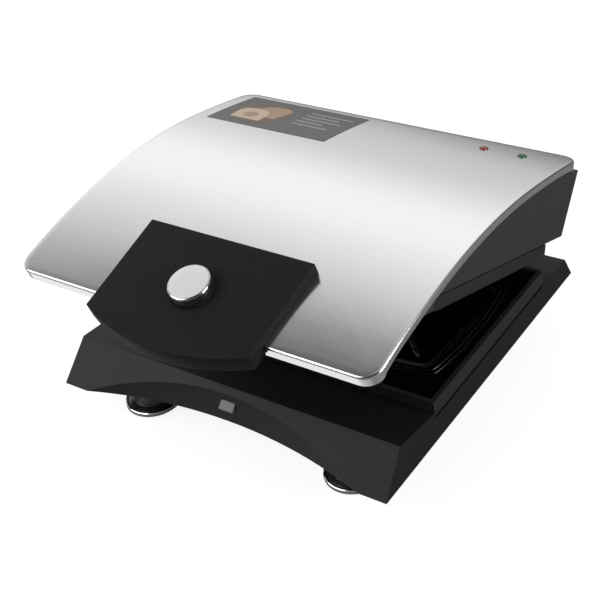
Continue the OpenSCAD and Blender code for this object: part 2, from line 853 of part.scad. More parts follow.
// Side outline of the lid housing, taken in by w; the cover closes it above
lid_top_y = cover_rear[0] - cover_t - slip;
function lid_outline(w) = concat(
    [
        for (p = cover_curve(w > 0 ? -6 : cover_t + eps)) if (p[0] < lid_top_y - w)
            [max(p[0], cover_front[0] + 1.2 + 2 * w), p[1]]
    ],
    [
        [lid_top_y - w, cover_rear[1] + (w > 0 ? 5 : -cover_t - 0.15)],
        [lid_top_y - w, cover_rear[1] - front_flange - 1],
        housing_corner - [w, 0],
        [lid_rear_y - w, lid_deck_z + w],
        [frame_front - 0.6 - w, lid_deck_z + w],
        [frame_front - 0.6 - w, crest_z + lid_clearance + w],
        [crest_y + w * 0.3, crest_z + lid_clearance + w],
        from_handle([2 + 1.2 * w, floor_out + w])
    ]
);

module lid_walls(w) {
    low = frame_w / 2 - w;
    bend = lid_deck_z - slip;
    top = cover_rear[1] + 10;
    high = low + tan(lid_draft) * (top - bend);
    translate([0, cover_rear[0] + 30, 0]) rotate([90, 0, 0]) linear_extrude(320)
        polygon([[-low, -10], [low, -10], [low, bend], [high, top], [-high, top], [-low, bend]]);
}

// Keeps the housing inside the round corners of the cover
module lid_corner_trim() {
    inset = cover_t + slip;
    intersection() {
        corner_prism(cover_front, cover_front_slope, inset);
        union() {
            rear_prism(inset);
            translate([-cover_w, cover_front[0] - 50, -50])
                cube([2 * cover_w, 500, cover_rear[1] - front_flange + 48.8]);
        }
    }
}

module knuckles() {
    mirrored_x() across(knuckle_w, hinge_x) union() {
        translate([hinge_y, hinge_z]) circle(hinge_h - 1.5);
        translate([hinge_y - hinge_h + 1.5, hinge_z])
            square([hinge_h - 1.5 + 0.4, lid_deck_z - hinge_z + 1]);
    }
}

// Places the four posts that the cover's studs stand on
module each_lid_post() {
    at_corners(post_x, post_y) translate([0, 0, lid_deck_z]) children();
}

module lid_screw_holes() {
    each_lid_post() translate([0, 0, -1]) cylinder(r = 1.3, h = post_h + 2);
    each_lid_post() translate([0, 0, -1]) cylinder(r = 2.9, h = 3);
}

module lid_screws() {
    on_lid() color([0.7, 0.7, 0.72]) each_lid_post() translate([0, 0, 0.2]) rotate([180, 0, 0])
        screw(2.5, 5.4, 1.8, 11);
}

module lid_housing() {
    on_lid() color([0.22, 0.22, 0.23]) difference() {
        union() {
            intersection() {
                difference() {
                    across(cover_w) polygon(lid_outline(0));
                    intersection() {
                        across(cover_w) polygon(lid_outline(wall));
                        lid_walls(wall);
                    }
                }
                lid_walls(0);
                lid_corner_trim();
            }
            intersection() {
                each_lid_post() cylinder(r = 3.6, h = post_h);
                lid_walls(0);
            }
            knuckles();
        }
        translate([0, 0, lid_deck_z - wall]) linear_extrude(3 * wall)
            rounded_rect(open_w - 1, open_d - 1, 6);
        at_corners(plate_screw_x, plate_screw_y) translate([0, 0, lid_deck_z - 5])
            cylinder(r = 1.9, h = 10);
        translate([0, hinge_y, hinge_z]) rotate([0, 90, 0])
            cylinder(r = pin_r + pin_gap, h = 2 * hinge_x + knuckle_w + 1, center = true);
        in_handle() {
            translate([-stem_w / 2 - 1, stem_front - 0.6, floor_out - 5])
                cube([stem_w + 2, stem_rear - stem_front + 4.6, 12]);
            translate([0, button_up, body_low - button_travel - 0.6]) cylinder(r = cap_r + 2, h = 12);
            bracket_holes(floor_out - 5, 12, 1.25);
            at_handle_screws() translate([0, 0, floor_out - 15]) cylinder(r = 3.6, h = 50);
        }
        lid_screw_holes();
    }
}

// Thermostat on the back of the upper plate
module thermostat() {
    on_lid() color([0.82, 0.78, 0.7]) translate([0, 0, upper_face + plate_t]) union() {
        cylinder(r = 6.5, h = thermostat_h);
        for (x = [-3.5, 3.5]) translate([x - 0.4, -1.5, thermostat_h - 1])
            cube([0.8, 3, terminal_h + 1]);
    }
}

// Wires from the thermostat over the reflector to the heater's pins and the lamps
module lid_wiring() {
    pin_z = upper_face - element_z;
    top = upper_face + plate_t + thermostat_h + terminal_h + wire_d / 2;
    lamp = cover_point(2, lens_slope, lamp_under + lamp_h + lead_h - 0.6);
    on_lid() color([0.75, 0.7, 0.2]) union() {
        wire([
            [3.5, 0, top], [12, 6, top + 2], [pin_x / 2, run_y - 4, top], [pin_x - 8, run_y, top],
            [pin_x, run_y, pin_z + 5], [pin_x, run_y, pin_z]
        ], wire_d);
        wire([
            [pin_x, -run_y, pin_z], [pin_x, -run_y, pin_z + 6], [pin_x - 12, -16, top],
            [pin_x - 22, 46, top + 8], [(red_lens_x + green_lens_x) / 2, lamp[0], lamp[1]]
        ], wire_d);
    }
}

module each_lens() {
    for (x = lens_xs) on_lens(x) children();
}

module lens() {
    union() {
        translate([0, 0, -4]) cylinder(r = lens_r, h = 4.4);
        translate([0, 0, -cover_t - 1.6]) cylinder(r = lens_r + 1.4, h = 1.5);
        translate([0, 0, 0.4]) cylinder(r1 = lens_r, r2 = lens_r - 0.6, h = 0.5);
    }
}

module red_lens() {
    on_lid() color([0.75, 0.1, 0.08]) on_lens(red_lens_x) lens();
}

module green_lens() {
    on_lid() color([0.2, 0.55, 0.2]) on_lens(green_lens_x) lens();
}

module indicator_lamps() {
    on_lid() color([0.95, 0.8, 0.6]) each_lens() union() {
        translate([0, 0, -lamp_under - lamp_h]) cylinder(r = lamp_r, h = lamp_h);
        for (x = [-1, 1]) translate([x, 0, -lamp_under - lamp_h - lead_h])
            cylinder(r = lead_r, h = lead_h + 1);
    }
}

module lamp_bracket() {
    pitch = green_lens_x - red_lens_x;
    span = pitch + 18;
    floor_z = -lamp_under - lamp_h - 2;
    on_lid() color([0.3, 0.3, 0.31]) on_lens(red_lens_x + pitch / 2) difference() {
        union() {
            translate([-span / 2, -6, floor_z]) cube([span, 12, 2]);
            translate([-1.5, -6, floor_z]) cube([3, 12, -floor_z - cover_t - pin_gap]);
        }
        for (x = [-1, 1], k = [-1, 1]) translate([x * pitch / 2 + k, 0, floor_z - 1])
            cylinder(r = lead_r, h = 4);
    }
}

// Thin printed label on the cover's face, near its rear left corner
module printed_label() {
    face = cover_curve(-0.12);
    back = cover_curve(0);
    on_lid() color([0.35, 0.35, 0.36]) intersection() {
        across(cover_w) polygon(concat(face, [for (i = [len(back) - 1:-1:0]) back[i]]));
        translate([label_edge - cover_w / 2, cover_rear[0] - label_d - label_margin, 0])
            cube([label_w, label_d, 200]);
    }
}

// Handle and latch, drawn in the handle's frame

// Turns closed lid pieces into the handle's frame: y is up the slope, z is away from the cover
module in_handle() {
    translate([0, cover_front[0], cover_front[1]]) rotate([handle_slope, 0, 0]) children();
}

// Plan of the handle with its bowed front edge, taken in by inset
module handle_plan(inset) {
    half = handle_w / 2 - inset;
    bow_r = (pow(handle_w / 2, 2) + pow(handle_bow, 2)) / (2 * handle_bow);
    intersection() {
        translate([-half, handle_tip - 1]) square([2 * half, handle_back - inset - handle_tip + 1]);
        translate([0, bow_r + handle_tip]) circle(bow_r - inset, $fn = 240);
    }
}

// The part of the plan in front of the cover
module grip_plan(inset, rear) {
    intersection() {
        handle_plan(inset);
        translate([-handle_w, handle_tip - 1]) square([2 * handle_w, rear - handle_tip + 1]);
    }
}

module at_handle_screws() {
    for (x = [-handle_screw_x, handle_screw_x], u = handle_screws_u) translate([x, u, 0]) children();
}

module at_grip_screws() {
    for (x = [-grip_screw_x, grip_screw_x]) translate([x, grip_screw_u, 0]) children();
}

module handle_top() {
    on_lid() color([0.13, 0.13, 0.13]) difference() {
        in_handle() difference() {
            union() {
                difference() {
                    translate([0, 0, -5]) linear_extrude(handle_rise + 5) handle_plan(0);
                    translate([0, 0, -6]) linear_extrude(handle_under + 6) handle_plan(handle_wall);
                    translate([0, 0, -6]) linear_extrude(handle_split + 6) grip_plan(-1, 0);
                }
                translate([0, button_up, collar_low])
                    cylinder(r = cap_r + 3, h = handle_under - collar_low + 1);
                at_handle_screws() translate([0, 0, -5]) cylinder(r = 4, h = handle_under + 6);
                at_grip_screws() translate([0, 0, handle_split])
                    cylinder(r = 4, h = handle_under - handle_split + 1);
            }
            translate([0, button_up, -20]) cylinder(r = cap_r + 0.4, h = 60);
            at_handle_screws() translate([0, 0, -20]) cylinder(r = 1.5, h = 20 + handle_under - 1);
            at_grip_screws() translate([0, 0, -20]) cylinder(r = 1.5, h = 20 + handle_under - 1);
        }
        below_cover(0);
    }
}

module handle_underside() {
    on_handle() color([0.13, 0.13, 0.13]) difference() {
        union() {
            difference() {
                translate([0, 0, grip_low]) linear_extrude(handle_split - grip_low) grip_plan(0, grip_rear);
                translate([0, 0, grip_low + handle_wall]) linear_extrude(20)
                    grip_plan(handle_wall, grip_rear - handle_wall);
            }
            at_grip_screws() translate([0, 0, grip_low + 1])
                cylinder(r = 4, h = handle_split - grip_low - 1);
        }
        at_grip_screws() translate([0, 0, grip_low - 1]) cylinder(r = 1.7, h = 20);
        at_grip_screws() translate([0, 0, grip_low - 1]) cylinder(r = 3.2, h = 3.2);
    }
}

// Height of the cover's face in the handle's frame, on its front arc
function cover_out(up) =
    sqrt(pow(cover_r, 2) - pow(up - cover_r * sin(cover_front_slope - handle_slope), 2))
    - cover_r * cos(cover_front_slope - handle_slope);

module handle_screws() {
    on_handle() color([0.7, 0.7, 0.72]) union() {
        at_grip_screws() translate([0, 0, grip_low + 0.4]) rotate([180, 0, 0])
            screw(3, 6, 1.8, handle_under - grip_low - 1.6);
        for (x = [-handle_screw_x, handle_screw_x], up = handle_screws_u) {
            seat = cover_out(up + 3.2) - cover_t - 0.05;
            translate([x, up, seat - 1.8]) rotate([180, 0, 0])
                screw(3, 6.4, 1.8, handle_under + 0.6 - seat);
        }
    }
}

module bracket_holes(from, length, r) {
    for (x = [-bracket_screw_x, bracket_screw_x], u = bracket_screws)
        translate([x, u, from]) cylinder(r = r, h = length);
}

// Channel under the lid that the latch slides in
module latch_bracket() {
    length = bracket_rear - bracket_front;
    on_handle() color([0.6, 0.6, 0.61]) difference() {
        translate([0, bracket_front, 0]) union() {
            translate([-bracket_half, 0, bracket_top - bracket_t])
                cube([2 * bracket_half, length, floor_out - bracket_top + bracket_t]);
            translate([-bracket_half - bracket_flange, 0, floor_out - 1.6])
                cube([2 * (bracket_half + bracket_flange), length, 1.6]);
        }
        translate([-slider_w / 2 - slip, bracket_front - 1, bracket_top])
            cube([slider_w + 2 * slip, length + 2, floor_out - bracket_top + 1]);
        translate([-hook_w / 2 - 0.7, bracket_front + 4, bracket_top - bracket_t - 1])
            cube([hook_w + 1.4, length, bracket_t + 2]);
        bracket_holes(floor_out - 5, 10, 1.5);
    }
}

module bracket_screws() {
    on_handle() color([0.7, 0.7, 0.72]) for (x = [-bracket_screw_x, bracket_screw_x], u = bracket_screws)
        translate([x, u, floor_out - 1.6 - 1.4]) rotate([180, 0, 0]) screw(2.5, 5, 1.4, 1.4 + 1.6 + 2.2);
}

// Slanting run of the stem's foot between two heights, grown by gap at its front and rear
function wedge_run(high, low, gap) = [
    [stem_front - gap + latch_ratio * (wedge_top - high), high],
    [stem_rear + gap + latch_ratio * (wedge_top - high), high],
    [stem_rear + gap + latch_ratio * (wedge_top - low), low],
    [stem_front - gap + latch_ratio * (wedge_top - low), low]
];

module button_cap() {
    on_handle() translate([0, button_up, 0]) color([0.8, 0.8, 0.82]) rotate_extrude() polygon([
        [0, cap_face - 1], [0, cap_face], [cap_r - 1.6, cap_face], [cap_r - 0.5, cap_face - 0.5],
        [cap_r, cap_face - 1.6], [cap_r, cap_face - 5.6],
        [cap_r - 1, cap_face - 5.6], [cap_r - 1, cap_face - 1]
    ]);
}

module button_body() {
    on_handle() color([0.1, 0.1, 0.1]) union() {
        translate([0, button_up, 0]) rotate_extrude() polygon([
            [0, body_top], [cap_r - 1.2, body_top], [cap_r - 1.2, cap_face - 5.8], [cap_r, cap_face - 5.8],
            [cap_r, collar_low - 0.1], [cap_r + 1.5, collar_low - 0.1], [cap_r + 1.5, body_low],
            [cap_r - 2.8, body_low], [cap_r - 2.8, cavity_top], [0, cavity_top]
        ]);
        translate([-stem_w / 2, stem_front, wedge_top - eps])
            cube([stem_w, stem_rear - stem_front, cavity_top - wedge_top + 1]);
        translate([-stem_w / 2, 0, 0]) rotate([90, 0, 90]) linear_extrude(stem_w)
            polygon(wedge_run(wedge_top, wedge_tip, 0));
    }
}

// Plate that slides under the lid, with the hook that holds the catch
module latch_slider() {
    on_lid() color([0.66, 0.66, 0.67]) difference() {
        union() {
            in_handle() translate([-slider_w / 2, slider_front, slider_low])
                cube([slider_w, slider_rear - slider_front, slider_t]);
            across(hook_w) polygon([
                from_handle([hook_up, slider_low + 1]),
                [hook_y, catch_tip[1] - 3.9],
                [catch_tip[0] + hook_reach - 1.4, catch_tip[1] - 3.9],
                [catch_tip[0] + hook_reach, catch_tip[1] - 2.2],
                [catch_tip[0] + hook_reach, catch_tip[1] - 0.5],
                [catch_tip[0] - hook_gap, catch_tip[1] - 0.5],
                from_handle([slider_rear, slider_low + 1])
            ]);
        }
        in_handle() translate([-stem_w / 2 - 0.5, 0, 0]) rotate([90, 0, 90])
            linear_extrude(stem_w + 1)
            polygon(wedge_run(slider_top + 1, wedge_tip - button_travel - 0.6, 0.2));
    }
}

// Coil spring between the lid's floor and the button
module button_spring() {
    sides = 8;
    steps = 20;
    rise = cavity_top - floor_top - spring_wire - 0.04;
    count = spring_turns * steps;
    points = [for (i = [0:count], k = [0:sides - 1])
        let (a = 360 * i / steps, b = 360 * k / sides, r = spring_r + spring_wire / 2 * cos(b))
        [r * cos(a), r * sin(a), rise * i / count + spring_wire / 2 * sin(b)]];
    ring = [for (k = [0:sides - 1]) k];
    skin = [for (i = [0:count - 1], k = [0:sides - 1])
        let (a = i * sides + k, b = i * sides + (k + 1) % sides) [a, a + sides, b + sides, b]];
    on_handle() translate([0, spring_up, floor_top + spring_wire / 2 + 0.02]) color([0.7, 0.7, 0.72])
        polyhedron(points, concat([ring], skin, [[for (k = [sides - 1:-1:0]) count * sides + k]]));
}

placed() {
    base_housing();
    bottom_cover();
    feet();
    foot_rings();
    foot_pads();
    base_screws();
    lower_plate_frame();
    lower_plate();
    lower_plate_screws();
    lower_heating_element();
    lower_heat_reflector();
    catch_strike();
    hinge_pins();
    terminal_block();
    thermal_fuse();
    base_wiring();
    cord_gland();
    lid_cover();
    lid_housing();
    upper_plate_frame();
    upper_plate();
    upper_plate_screws();
    upper_heating_element();
    upper_heat_reflector();
    thermostat();
    lid_wiring();
    red_lens();
    green_lens();
    indicator_lamps();
    lamp_bracket();
    printed_label();
    lid_screws();
    handle_top();
    handle_underside();
    handle_screws();
    latch_bracket();
    bracket_screws();
    button_cap();
    button_body();
    button_spring();
    latch_slider();
}
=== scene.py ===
"""Breakfast sandwich maker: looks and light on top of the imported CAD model.

Sizes are in millimetres until a mesh is made. Lid pieces are worked out for the shut lid and then
turned open, as in the CAD source.
"""

import json
import math

import bpy
from mathutils import Matrix, Vector
from mathutils.geometry import tessellate_polygon

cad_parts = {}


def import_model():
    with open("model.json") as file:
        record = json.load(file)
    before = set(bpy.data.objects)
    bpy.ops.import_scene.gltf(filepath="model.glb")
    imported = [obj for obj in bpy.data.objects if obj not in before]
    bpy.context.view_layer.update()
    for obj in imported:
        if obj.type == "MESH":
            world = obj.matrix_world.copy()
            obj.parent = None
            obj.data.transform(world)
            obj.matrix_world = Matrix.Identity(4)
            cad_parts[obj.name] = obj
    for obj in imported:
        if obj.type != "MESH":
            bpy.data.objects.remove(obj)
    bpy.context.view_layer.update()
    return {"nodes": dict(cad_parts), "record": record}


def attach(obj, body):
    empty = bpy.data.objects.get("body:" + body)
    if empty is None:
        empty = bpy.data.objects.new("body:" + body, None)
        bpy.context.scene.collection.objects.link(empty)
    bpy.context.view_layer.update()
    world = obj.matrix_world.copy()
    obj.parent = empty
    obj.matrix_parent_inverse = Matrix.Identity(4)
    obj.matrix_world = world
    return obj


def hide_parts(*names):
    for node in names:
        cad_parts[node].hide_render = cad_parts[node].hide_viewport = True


MM = 0.001

# Place and pose of the lid, as in the CAD
SHIFT_Y = 25.0536
HINGE_Y = 98.25
HINGE_Z = 48.0
LID_OPEN = math.radians(20.8)

# Steel cover
COVER_HALF = 138.65
COVER_T = 0.8
COVER_CORNER = 12.0
COVER_FRONT_Y = -152.95
COVER_FRONT_Z = 34.6
COVER_SLOPE = 36.0
COVER_SCALE = 0.99985
COVER_ARCS = ((500.0, 11.0), (355.0, 15.5), (740.0, 5.5))
FRONT_FLANGE = 8.0
SIDE_FLANGE = 5.0
# The front and rear flanges reach this far round the corners, and run out over the blend
FLANGE_REACH = COVER_CORNER + 2
FLANGE_BLEND = 6.0
EDGE_ROUND = 1.5

# Handle and button, in the handle's own frame
HANDLE_SLOPE = math.radians(35.3)
HANDLE_HALF = 63.6
HANDLE_BACK = 61.4
HANDLE_BOW = 14.5
HANDLE_TIP = -26.7
HANDLE_TOP = 5.7
HANDLE_SPLIT = -1.5
HANDLE_EDGE = 1.0
HANDLE_WALL = 2.2
GRIP_LOW = -6.3
GRIP_REAR = -0.3
GRIP_GAP = 0.15
BUTTON_UP = 19.3
CAP_R = 14.2
CAP_FACE = 13.9
BAND_LOW = CAP_FACE - 5.6
COLLAR_LOW = 3.6
BORE_R = CAP_R + 0.4
BORE_DEPTH = 4.0

# Baking plates
FACE_Z = 51.2
PLATE_W = 252.0
PLATE_D = 141.5
CELL_W = 111.0
CELL_D = 108.0
CELL_PITCH = 126.0
CELL_BOW = 260.0
CELL_CORNER = 0.6
PLATE_T = 3.0
PLATE_CORNER = 5.0
PLATE_EDGE = 0.3
UPPER_FACE_Z = 53.0
RIDGE_H = 4.5
RIDGE_W = 7.0
# (inset from the cell's edge, height over the plate's face): two raised lines, then three terraces
CELL_PROFILE = (
    (-2.9, 0.0), (-2.6, 0.5), (-2.2, 0.5), (-1.9, 0.0), (0.4, 0.0), (0.7, 0.5),
    (1.1, 0.5), (1.5, -0.1), (4.6, -0.6), (6.0, -3.0), (6.6, -3.4), (9.6, -3.6),
    (10.2, -4.0), (11.4, -6.2), (12.0, -6.6), (14.0, -6.8), (14.6, -7.2), (15.6, -9.4),
    (16.4, -10.0),
)

# Printed label on the cover
LABEL_LEFT = -127.0
LABEL_W = 104.5
LABEL_D = 59.0
LABEL_MARGIN = 8.0
LABEL_T = 0.12
PRINT_T = 0.03
BAR_LEFT = 62.0
BAR_TOP = 46.0
BAR_STEP = 6.5
BAR_H = 1.6
BAR_LENGTHS = (36, 28, 33, 22, 30)

# Feet
FOOT_X = 84.4
FOOT_R = 20.6
FOOT_H = 25.0
RING_LOW = 1.2
RING_TOP = 4.6
RING_WALL = 1.9
FOOT_YS = (-104.55, 78.25)

# Camera fitted to the photograph
CAMERA_TARGET = (-10.88, 8.30, 48.33)
CAMERA_AZIMUTH = 41.064
CAMERA_ELEVATION = 36.226
CAMERA_ROLL = 10.818
CAMERA_DISTANCE = 922.61
CAMERA_FOCAL_PX = 1328.43
PHOTO_PX = 600
SENSOR_MM = 36.0

# Share of the floor's white that doesn't take the object's shadow: as the camera sees it, and as it is
# mirrored close in front of the object and further away
FLOOR_GLOW = 0.88
MIRRORED_NEAR = 0.75
MIRRORED_FAR = 0.0
# The mirrored strip of floor, in metres: it fades out to the right, to the front and under the object
MIRRORED_RIGHT = (0.06, 0.2)
MIRRORED_FRONT = (-0.18, -0.15)
MIRRORED_UNDER = (-0.125, -0.11)

# Brightness of the studio against its height plus STUDIO_TILT times the distance to the left
STUDIO_TILT = 0.55
STUDIO_TOP = 1.16
# Share of that brightness in front of the object and to its right
STUDIO_FRONT = 0.15
STUDIO_RIGHT = 0.35
STUDIO = (
    (0.0, 0.12), (0.25, 0.2), (0.31, 0.45), (0.37, 0.62), (0.51, 0.68), (0.59, 0.78), (0.67, 0.90),
    (0.75, 1.0), (0.86, 1.0), (0.91, 0.95), (0.96, 0.84), (1.0, 0.73), (1.03, 0.64), (1.06, 0.5),
    (1.077, 0.38), (1.092, 0.27), (1.117, 0.14), (1.16, 0.08),
)
# Where those shares fade in, as directions from the object
STUDIO_FRONT_FADE = (-0.3, 0.05)
STUDIO_RIGHT_FADE = (-0.1, 0.25)

# Lamps: name, place and target in metres, side in metres, watts
LAMPS = (
    ("front_left", (-0.68, -0.8, 0.78), (0, -0.1, 0.04), 1.0, 9),
    ("right", (1.4, 0.15, 0.45), (0, 0, 0.08), 0.7, 14),
)


# Placing points


def base_point(x, y, z):
    """A point of the base in metres."""
    return Vector((x, y + SHIFT_Y, z)) * MM


def lid_point(x, y, z):
    """A point of the shut lid, turned to the open pose, in metres."""
    dy = y - HINGE_Y
    dz = z - HINGE_Z
    turned_y = HINGE_Y + dy * math.cos(LID_OPEN) + dz * math.sin(LID_OPEN)
    turned_z = HINGE_Z - dy * math.sin(LID_OPEN) + dz * math.cos(LID_OPEN)
    return Vector((x, turned_y + SHIFT_Y, turned_z)) * MM


def handle_point(x, up, out):
    """A point in the handle's frame: up the cover's slope, out from its face."""
    y = COVER_FRONT_Y + up * math.cos(HANDLE_SLOPE) - out * math.sin(HANDLE_SLOPE)
    z = COVER_FRONT_Z + up * math.sin(HANDLE_SLOPE) + out * math.cos(HANDLE_SLOPE)
    return lid_point(x, y, z)


def cover_length():
    """Length of the cover's face from its front edge to its rear edge."""
    return sum(COVER_SCALE * radius * math.radians(sweep) for radius, sweep in COVER_ARCS)


def cover_section(length):
    """(y, z, slope) on the cover's face at a length from its front edge."""
    y = COVER_FRONT_Y
    z = COVER_FRONT_Z
    slope = math.radians(COVER_SLOPE)
    left = length
    for index, (radius, sweep) in enumerate(COVER_ARCS):
        radius = radius * COVER_SCALE
        turn = math.radians(sweep)
        last = index == len(COVER_ARCS) - 1
        part = left / radius if last else max(min(left / radius, turn), left / radius if left < 0 else 0)
        y += radius * (math.sin(slope) - math.sin(slope - part))
        z += radius * (math.cos(slope - part) - math.cos(slope))
        slope -= part
        left -= radius * part
        if left <= 1e-9:
            break
    return y, z, slope


def cover_point(x, length, depth):
    """A point under the cover's face by depth."""
    y, z, slope = cover_section(length)
    return lid_point(x, y + depth * math.sin(slope), z - depth * math.cos(slope))


# Making meshes


def make_mesh(name, points, faces, smooth=True):
    """A mesh object from points in metres."""
    mesh = bpy.data.meshes.new(name)
    mesh.from_pydata([tuple(p) for p in points], [], faces)
    mesh.validate()
    mesh.update()
    thing = bpy.data.objects.new(name, mesh)
    bpy.context.scene.collection.objects.link(thing)
    mesh.polygons.foreach_set("use_smooth", [smooth] * len(mesh.polygons))
    return thing


def flip(thing):
    """Turns a mesh's faces over."""
    thing.data.flip_normals()
    return thing


def bridge(loops, closed_start=False, closed_end=False):
    """Faces between equally long closed loops of points, given in order."""
    count = len(loops[0])
    points = [p for loop in loops for p in loop]
    faces = []
    for i in range(len(loops) - 1):
        for k in range(count):
            a = i * count + k
            b = i * count + (k + 1) % count
            faces.append((a, b, b + count, a + count))
    if closed_start:
        faces.append(tuple(range(count - 1, -1, -1)))
    if closed_end:
        first = (len(loops) - 1) * count
        faces.append(tuple(range(first, first + count)))
    return points, faces


def revolve(name, profile, place, steps=72):
    """Turns a profile of (radius, height) about an axis; place makes a point from (x, y, height)."""
    loops = []
    for radius, height in profile:
        ring = []
        for k in range(steps):
            a = 2 * math.pi * k / steps
            ring.append(place(radius * math.cos(a), radius * math.sin(a), height))
        loops.append(ring)
    points, faces = bridge(loops)
    return make_mesh(name, points, faces)


def rounded_rect(half_w, low, high, radius, corner_steps=8, side_steps=24):
    """Points around a rectangle with round corners, from (x, y) corner to corner."""
    radius = max(min(radius, half_w, (high - low) / 2), 0.01)
    corners = (
        (half_w - radius, low + radius, -90),
        (half_w - radius, high - radius, 0),
        (radius - half_w, high - radius, 90),
        (radius - half_w, low + radius, 180),
    )
    loop = []
    for index, (cx, cy, start) in enumerate(corners):
        for k in range(corner_steps + 1):
            a = math.radians(start + 90 * k / corner_steps)
            loop.append((cx + radius * math.cos(a), cy + radius * math.sin(a)))
        nx, ny, begin = corners[(index + 1) % 4]
        a = math.radians(begin)
        end = (nx + radius * math.cos(a), ny + radius * math.sin(a))
        x, y = loop[-1]
        for k in range(1, side_steps):
            t = k / side_steps
            loop.append((x + (end[0] - x) * t, y + (end[1] - y) * t))
    return loop


def edge_arc(radius, steps=5):
    """(inset, depth) pairs of a rounded edge, from the side to the face."""
    pairs = []
    for k in range(steps + 1):
        a = math.pi / 2 * k / steps
        pairs.append((radius * (1 - math.cos(a)), radius * (1 - math.sin(a))))
    return pairs


# Materials


def new_material(name):
    """A material with its node tree and its shader."""
    material = bpy.data.materials.new(name)
    material.use_nodes = True
    shader = material.node_tree.nodes["Principled BSDF"]
    return material, material.node_tree, shader


def math_node(tree, operation, first, second=None):
    """A math node on two node outputs, or on one output and a number."""
    node = tree.nodes.new("ShaderNodeMath")
    node.operation = operation
    for index, value in enumerate((first, second)):
        if isinstance(value, (int, float)):
            node.inputs[index].default_value = value
        elif value is not None:
            tree.links.new(value, node.inputs[index])
    return node.outputs["Value"]


def noise(tree, scale, detail=3.0, stretch=(1.0, 1.0, 1.0)):
    """Noise in the object's own space, stretched along its axes."""
    where = tree.nodes.new("ShaderNodeTexCoord")
    mapping = tree.nodes.new("ShaderNodeMapping")
    mapping.inputs["Scale"].default_value = stretch
    texture = tree.nodes.new("ShaderNodeTexNoise")
    texture.inputs["Scale"].default_value = scale
    texture.inputs["Detail"].default_value = detail
    tree.links.new(where.outputs["Object"], mapping.inputs["Vector"])
    tree.links.new(mapping.outputs["Vector"], texture.inputs["Vector"])
    return texture


def ranged(tree, source, start, end, first, last):
    """Turns a value that runs from start to end into one that runs from first to last."""
    node = tree.nodes.new("ShaderNodeMapRange")
    node.inputs["From Min"].default_value = start
    node.inputs["From Max"].default_value = end
    node.inputs["To Min"].default_value = first
    node.inputs["To Max"].default_value = last
    tree.links.new(source, node.inputs["Value"])
    return node.outputs["Result"]


def tint(tree, source, dark, light):
    """Maps a 0 to 1 value onto two colours."""
    node = tree.nodes.new("ShaderNodeValToRGB")
    node.color_ramp.elements[0].position = 0.3
    node.color_ramp.elements[0].color = (*dark, 1)
    node.color_ramp.elements[1].position = 0.7
    node.color_ramp.elements[1].color = (*light, 1)
    tree.links.new(source, node.inputs["Fac"])
    return node.outputs["Color"]


def bumped(tree, shader, source, strength, distance, edge=0.0):
    """Small relief, and rounded edges where edge is a radius in metres."""
    bump = tree.nodes.new("ShaderNodeBump")
    bump.inputs["Strength"].default_value = strength
    bump.inputs["Distance"].default_value = distance
    tree.links.new(source, bump.inputs["Height"])
    if edge:
        bevel = tree.nodes.new("ShaderNodeBevel")
        bevel.samples = 4
        bevel.inputs["Radius"].default_value = edge
        tree.links.new(bevel.outputs["Normal"], bump.inputs["Normal"])
    tree.links.new(bump.outputs["Normal"], shader.inputs["Normal"])


def plastic(name, colour, roughness, grain=0.15, edge=0.0006, gloss=0.5):
    """Moulded plastic with a fine grain."""
    material, tree, shader = new_material(name)
    texture = noise(tree, 900.0)
    darker = tuple(c * 0.85 for c in colour)
    lighter = tuple(c * 1.15 for c in colour)
    tree.links.new(tint(tree, texture.outputs["Fac"], darker, lighter), shader.inputs["Base Color"])
    tree.links.new(
        ranged(tree, texture.outputs["Fac"], 0.3, 0.7, roughness - 0.04, roughness + 0.04),
        shader.inputs["Roughness"],
    )
    shader.inputs["Specular IOR Level"].default_value = gloss
    bumped(tree, shader, texture.outputs["Fac"], grain, 0.0002, edge)
    return material


def metal(name, colour, roughness, stretch=(1.0, 1.0, 1.0), grain=0.05, scale=500.0, share=1.0):
    """Metal with brushing along the axis that stretch leaves smallest."""
    material, tree, shader = new_material(name)
    texture = noise(tree, scale, 4.0, stretch)
    darker = tuple(c * 0.94 for c in colour)
    tree.links.new(tint(tree, texture.outputs["Fac"], darker, colour), shader.inputs["Base Color"])
    tree.links.new(
        ranged(tree, texture.outputs["Fac"], 0.3, 0.7, roughness - 0.03, roughness + 0.03),
        shader.inputs["Roughness"],
    )
    shader.inputs["Metallic"].default_value = share
    bumped(tree, shader, texture.outputs["Fac"], grain, 0.0001)
    return material


def tinted_lens(name, colour):
    """A glossy coloured lamp lens."""
    material, tree, shader = new_material(name)
    texture = noise(tree, 400.0)
    darker = tuple(c * 0.6 for c in colour)
    tree.links.new(tint(tree, texture.outputs["Fac"], darker, colour), shader.inputs["Base Color"])
    shader.inputs["Roughness"].default_value = 0.12
    shader.inputs["Coat Weight"].default_value = 0.5
    return material


